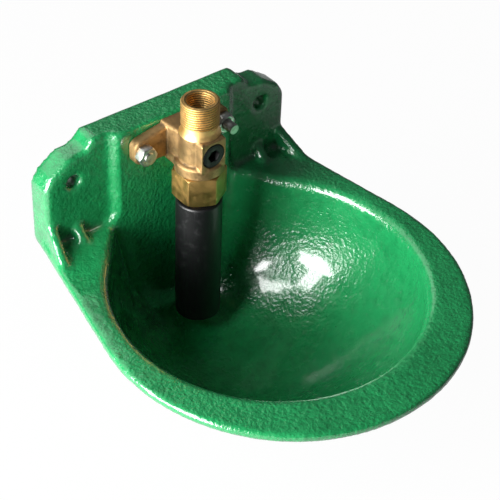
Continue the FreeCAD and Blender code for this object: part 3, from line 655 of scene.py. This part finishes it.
class BOWL_OT_casting(bpy.types.Operator):
    """Make the enamelled iron casting, with its uneven cast surface"""

    bl_idname = "bowl.casting"
    bl_label = "Casting"

    def execute(self, context):
        wave_size = 0.022
        look = context.scene.enamel_look
        piece = merged_copy("bowl_casting", "enamelled_casting")
        remeshed(piece, look.voxel)
        self.draw_in(piece, look)
        roughened(piece, "cast_unevenness", wave_size, look.waviness)
        dress(piece, enamel_material(look), "green_enamel", "base", "bowl_casting")
        return {"FINISHED"}

    def draw_in(self, piece, look):
        """Draws the bowl in below its rim with a cage, so that its sides slope to a floor near the wall."""
        rim_height = 0.0887
        room_below = 0.012
        depth = 0.28
        kept_depth = 0.08
        blend_depth = 0.08
        fall_start = 0.45
        fall_length = 0.65
        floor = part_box("bowl_casting")[0].z
        top = floor + rim_height
        height = top - floor + room_below
        bpy.ops.object.select_all(action="DESELECT")
        bpy.ops.object.add(type="LATTICE", location=(0, -depth / 2, top - height / 2))
        holder = bpy.context.active_object
        holder.scale = (depth, depth, height)
        cage = holder.data
        cage.points_u = 2
        cage.points_v = 8
        cage.points_w = 8
        cage.interpolation_type_u = "KEY_LINEAR"
        cage.interpolation_type_v = "KEY_BSPLINE"
        cage.interpolation_type_w = "KEY_BSPLINE"
        for point in cage.points:
            place = point.co
            fall = min(1.0, max(0.0, (fall_start - place.z) / fall_length))
            before_tube = 0.5 - place.y - kept_depth / depth
            front = min(1.0, max(0.0, before_tube * depth / blend_depth))
            narrow = 1 - look.side_slope * fall * front
            shift = max(0.0, before_tube) * look.front_slope * fall
            point.co_deform = (place.x * narrow, place.y + shift, place.z)
        modified(piece, "LATTICE", object=holder)
        bpy.data.objects.remove(holder)


class BOWL_OT_valve_body(bpy.types.Operator):
    """Make the cast brass body, with a rough skin and rounded edges"""

    bl_idname = "bowl.valve_body"
    bl_label = "Valve body"

    def execute(self, context):
        grain_size = 0.004
        look = context.scene.brass_look
        piece = merged_copy("valve_body", "cast_valve_body")
        cut = (0, 0, thread_foot - 0.001)
        select_only(piece)
        bpy.ops.object.mode_set(mode="EDIT")
        bpy.ops.mesh.select_all(action="SELECT")
        bpy.ops.mesh.bisect(plane_co=cut, plane_no=(0, 0, 1), clear_outer=True, use_fill=True)
        bpy.ops.object.mode_set(mode="OBJECT")
        remeshed(piece, look.voxel)
        roughened(piece, "brass_grain", grain_size, look.grain)
        dress(piece, cast_brass_material(look), "cast_brass", "base", "valve_body")
        return {"FINISHED"}


class BOWL_OT_inlet(bpy.types.Operator):
    """Make the turned inlet with its outer and inner pipe threads"""

    bl_idname = "bowl.inlet"
    bl_label = "Inlet"

    def execute(self, context):
        sizes = context.scene.thread_sizes
        look = context.scene.brass_look
        chamfer = 0.0012
        bore_chamfer = 0.3 * chamfer
        brim_height = 0.0008
        brim_room = 0.0001
        brim_ledge = 0.0012
        foot = thread_foot
        sleeve_end = foot - 0.0066
        neck_radius = thread_radius - 0.0006
        root = thread_radius - sizes.pipe_depth
        bore_root = bore_radius + sizes.pipe_depth
        bore_floor = inlet_top - bore_length
        brim_low, brim_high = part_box("inlet_strainer")
        seat = brim_high.z - brim_height
        seat_radius = (brim_high.x - brim_low.x) / 2 + brim_room
        passage = seat_radius - brim_ledge
        sleeve = turned("inlet", [
            (bore_root, bore_floor),
            (bore_root, inlet_top - bore_chamfer),
            (bore_root + bore_chamfer, inlet_top),
            (thread_radius - chamfer, inlet_top),
            (root, inlet_top - chamfer),
            (root, foot + chamfer),
            (neck_radius, foot),
            (neck_radius, foot - 0.0022),
            (thread_radius + 0.0004, foot - 0.0052),
            (thread_radius + 0.0012, sleeve_end),
            (passage, sleeve_end),
            (passage, seat),
            (seat_radius, seat),
            (seat_radius, bore_floor),
        ])
        outer = ridge("outer_thread", root, thread_radius, sizes.pipe_pitch, foot, inlet_top)
        blank = turned("blank", [
            (root - blank_room, foot),
            (thread_radius + blank_room, foot),
            (thread_radius + blank_room, inlet_top - chamfer),
            (thread_radius - chamfer + 0.0002, inlet_top - 0.0001),
            (root - blank_room, inlet_top - 0.0001),
        ])
        trimmed(outer, blank)
        inner = ridge("inner_thread", bore_root, bore_radius, sizes.pipe_pitch, bore_floor, inlet_top)
        blank = turned("blank", [
            (bore_radius - blank_room, bore_floor),
            (bore_root + blank_room, bore_floor),
            (bore_root + blank_room, inlet_top - 0.0002),
            (bore_root - 0.0002, inlet_top - 0.0002),
            (bore_radius - blank_room, inlet_top - 0.0016),
        ])
        trimmed(inner, blank)
        piece = joined(sleeve, outer, inner)
        placed(piece, 0, valve_y, 0)
        smooth(piece, 40.0)
        material = turned_brass_material(look, "turned_inlet", look.bright, (60.0, 60.0, 5200.0), sizes)
        dress(piece, material, "turned_brass", "base")
        return {"FINISHED"}


class BOWL_OT_union_nut(bpy.types.Operator):
    """Make the union nut, with softened corners"""

    bl_idname = "bowl.union_nut"
    bl_label = "Union nut"

    def execute(self, context):
        look = context.scene.brass_look
        piece = crisp(merged_copy("union_nut", "brass_union_nut"), 0.00035)
        material = turned_brass_material(look, "milled_nut", look.milled, (420.0, 420.0, 1600.0))
        dress(piece, material, "turned_brass", "base", "union_nut")
        return {"FINISHED"}


class BOWL_OT_tube(bpy.types.Operator):
    """Make the black drinking tube"""

    bl_idname = "bowl.tube"
    bl_label = "Drinking tube"

    def execute(self, context):
        low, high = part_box("drinking_tube")
        radius = (high.x - low.x) / 2
        wall = 0.0026
        neck = 0.00755
        closed = 0.008
        top_edge = 0.0016
        top_round = 0.00047
        end_edge = 0.0009
        end_round = 0.00026
        soft_edge = 0.0003
        corners = [
            (neck, high.z),
            (radius - top_edge, high.z),
            (radius - top_round, high.z - top_round),
            (radius, high.z - top_edge),
            (radius, low.z + end_edge),
            (radius - end_round, low.z + end_round),
            (radius - end_edge, low.z),
            (radius - wall + end_edge, low.z),
            (radius - wall, low.z + end_edge),
            (radius - wall, high.z - closed - wall),
            (radius - 2 * wall, high.z - closed),
            (neck, high.z - closed),
        ]
        piece = turned("drinking_tube_black", corners, 128)
        placed(piece, 0, valve_y, 0)
        modified(
            piece, "BEVEL", width=soft_edge, segments=2, limit_method="ANGLE", angle_limit=math.radians(20)
        )
        smooth(piece, 40.0)
        dress(piece, black_tube_material(), "black_tube", "tube", "drinking_tube")
        return {"FINISHED"}


class BOWL_OT_flow_screw(bpy.types.Operator):
    """Make the black flow screw with its hexagon socket"""

    bl_idname = "bowl.flow_screw"
    bl_label = "Flow screw"

    def execute(self, context):
        piece = crisp(merged_copy("flow_screw", "black_flow_screw"), 0.00025)
        material = moulded_material("black_plastic", (0.002, 0.002, 0.0022), (0.005, 0.005, 0.005), 0.46)
        dress(piece, material, "black_plastic", "flow_screw", "flow_screw")
        return {"FINISHED"}


class BOWL_OT_fastenings(bpy.types.Operator):
    """Make the bolts with threaded ends, and the nuts"""

    bl_idname = "bowl.fastenings"
    bl_label = "Bolts and nuts"

    def execute(self, context):
        sizes = context.scene.thread_sizes
        zinc = plated_material("zinc_steel", zinc_grey, zinc_stain, 0.30)
        bolt_radius = 0.004
        root = bolt_radius - sizes.bolt_depth
        core = root - 0.0001
        crest = bolt_radius - 0.00005
        thread_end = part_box("flange_nuts")[0].y + 0.004
        for x, side in zip(bolt_places, ("left", "right")):
            node = "flange_bolt_" + side
            low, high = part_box(node)
            piece = merged_copy(node, "zinc_bolt_" + side)

            def on_thread(co):
                return co.y < thread_end and math.hypot(co.x - x, co.z - bolt_height) > root

            pick(piece, on_thread)
            share = core / bolt_radius
            bpy.ops.transform.resize(value=(share, 1, share), center_override=(x, low.y, bolt_height))
            bpy.ops.object.mode_set(mode="OBJECT")
            smooth(piece)
            length = thread_end - low.y
            thread = ridge("bolt_thread", root, crest, sizes.bolt_pitch, 0.0, length, 40)
            blank = turned("blank", [
                (root - blank_room, 0.0002),
                (root + 0.0002, 0.0002),
                (bolt_radius, 0.0009),
                (bolt_radius, length),
                (root - blank_room, length),
            ], 48)
            trimmed(thread, blank)
            placed(thread, x, low.y, bolt_height, along_y=True)
            smooth(thread)
            piece = joined(piece, thread)
            dress(piece, zinc, "zinc_steel", "base", node)
        nuts = crisp(merged_copy("flange_nuts", "zinc_nuts"), 0.0002)
        dress(nuts, zinc, "zinc_steel", "base", "flange_nuts")
        return {"FINISHED"}


class BOWL_OT_inner_pieces(bpy.types.Operator):
    """Give the pieces inside the valve and behind the panel their finishes"""

    bl_idname = "bowl.inner_pieces"
    bl_label = "Inner pieces"

    def execute(self, context):
        look = context.scene.brass_look
        brass = turned_brass_material(look, "turned_inner_brass", look.bright, (300.0, 300.0, 3000.0))
        white = moulded_material("white_plastic", (0.72, 0.71, 0.67), (0.60, 0.59, 0.54), 0.42)
        rubber = moulded_material("seal_rubber", (0.012, 0.012, 0.012), (0.03, 0.03, 0.029), 0.62)
        stainless = plated_material("stainless_steel", (0.58, 0.58, 0.56), (0.42, 0.41, 0.38), 0.26)
        zinc = plated_material("zinc_washers", zinc_grey, zinc_stain, 0.34)
        finishes = {
            "rocker_ring": brass,
            "rocker_head": brass,
            "seat_lock_ring": brass,
            "seat_insert": white,
            "inlet_strainer": white,
            "seat_seal": rubber,
            "sealing_disc": rubber,
            "flow_screw_seal": rubber,
            "valve_pin": stainless,
            "disc_washer": stainless,
            "pin_clip": stainless,
            "valve_spring": stainless,
            "rear_washers": zinc,
        }
        for node, material in finishes.items():
            for slot in frame["nodes"][node].material_slots:
                slot.material = material
        return {"FINISHED"}


class BOWL_OT_stage(bpy.types.Operator):
    """Set up the floor, the lamps, the world and the camera"""

    bl_idname = "bowl.stage"
    bl_label = "Stage"

    def execute(self, context):
        look = context.scene.stage_look
        scene = context.scene
        scene.view_settings.view_transform = "Standard"
        self.make_floor(look)
        self.make_world(scene)
        for lamp in lamps:
            self.make_lamp(*lamp)
        self.make_camera(scene, look)
        return {"FINISHED"}

    def make_floor(self, look):
        width = 12.0
        gap = 0.0002
        bpy.ops.object.select_all(action="DESELECT")
        bpy.ops.mesh.primitive_plane_add(size=width, location=(0, 0, cad_low.z - gap))
        floor = bpy.context.active_object
        floor.name = "floor"
        floor.data.materials.append(floor_material(tuple(look.floor)))

    def make_world(self, scene):
        """A dim room that lights the object, and a white background that only the camera sees."""
        room_colour = (0.9, 0.95, 1.0, 1.0)
        room_strength = 0.07
        world = bpy.data.worlds.new("pale_room")
        scene.world = world
        world.use_nodes = True
        tree = world.node_tree
        tree.nodes.clear()
        room = tree.nodes.new("ShaderNodeBackground")
        room.inputs[0].default_value = room_colour
        room.inputs[1].default_value = room_strength
        white = tree.nodes.new("ShaderNodeBackground")
        white.inputs[0].default_value = (1.0, 1.0, 1.0, 1.0)
        rays = tree.nodes.new("ShaderNodeLightPath")
        mixed = tree.nodes.new("ShaderNodeMixShader")
        output = tree.nodes.new("ShaderNodeOutputWorld")
        tree.links.new(rays.outputs["Is Camera Ray"], mixed.inputs[0])
        tree.links.new(room.outputs[0], mixed.inputs[1])
        tree.links.new(white.outputs[0], mixed.inputs[2])
        tree.links.new(mixed.outputs[0], output.inputs[0])

    def make_lamp(self, name, place, width, height, watts):
        lamp = bpy.data.lights.new(name, "AREA")
        lamp.shape = "RECTANGLE"
        lamp.size = width
        lamp.size_y = height
        lamp.energy = watts
        holder = bpy.data.objects.new(name, lamp)
        bpy.context.scene.collection.objects.link(holder)
        holder.location = place
        aim = Vector(bowl_middle) - Vector(place)
        holder.rotation_euler = aim.to_track_quat("-Z", "Y").to_euler()

    def make_camera(self, scene, look):
        """A camera where the photograph was taken from, as worked out from the object in it."""
        azimuth = math.radians(40.31)
        elevation = math.radians(39.34)
        roll = math.radians(2.29)
        place = Vector((-0.52135, -0.72278, 0.62177))
        ahead = Vector((
            math.sin(azimuth) * math.cos(elevation),
            math.cos(azimuth) * math.cos(elevation),
            -math.sin(elevation),
        ))
        camera = bpy.data.cameras.new("camera")
        camera.lens = look.lens
        camera.sensor_width = 36.0
        holder = bpy.data.objects.new("camera", camera)
        scene.collection.objects.link(holder)
        holder.location = place
        upright = ahead.to_track_quat("-Z", "Y")
        holder.rotation_mode = "QUATERNION"
        holder.rotation_quaternion = upright @ Euler((0, 0, roll)).to_quaternion()
        scene.camera = holder


class BOWL_PT_panel(bpy.types.Panel):
    """Lists the steps in the sidebar"""

    bl_label = "Drinking bowl"
    bl_idname = "BOWL_PT_panel"
    bl_space_type = "VIEW_3D"
    bl_region_type = "UI"
    bl_category = "Drinking bowl"

    def draw(self, context):
        for step in steps:
            self.layout.operator(step.bl_idname)


steps = (
    BOWL_OT_casting,
    BOWL_OT_valve_body,
    BOWL_OT_inlet,
    BOWL_OT_union_nut,
    BOWL_OT_tube,
    BOWL_OT_flow_screw,
    BOWL_OT_fastenings,
    BOWL_OT_inner_pieces,
    BOWL_OT_stage,
)
looks = {
    "enamel_look": EnamelLook,
    "brass_look": BrassLook,
    "thread_sizes": ThreadSizes,
    "stage_look": StageLook,
}


def register():
    for kind in (*looks.values(), *steps, BOWL_PT_panel):
        bpy.utils.register_class(kind)
    for name, kind in looks.items():
        setattr(bpy.types.Scene, name, bpy.props.PointerProperty(type=kind))


def unregister():
    for name in looks:
        delattr(bpy.types.Scene, name)
    for kind in (BOWL_PT_panel, *reversed(steps), *reversed(looks.values())):
        bpy.utils.unregister_class(kind)


def main():
    register()
    bpy.ops.bowl.casting()
    bpy.ops.bowl.valve_body()
    bpy.ops.bowl.inlet()
    bpy.ops.bowl.union_nut()
    bpy.ops.bowl.tube()
    bpy.ops.bowl.flow_screw()
    bpy.ops.bowl.fastenings()
    bpy.ops.bowl.inner_pieces()
    bpy.ops.bowl.stage()


if __name__ == "__main__":
    main()
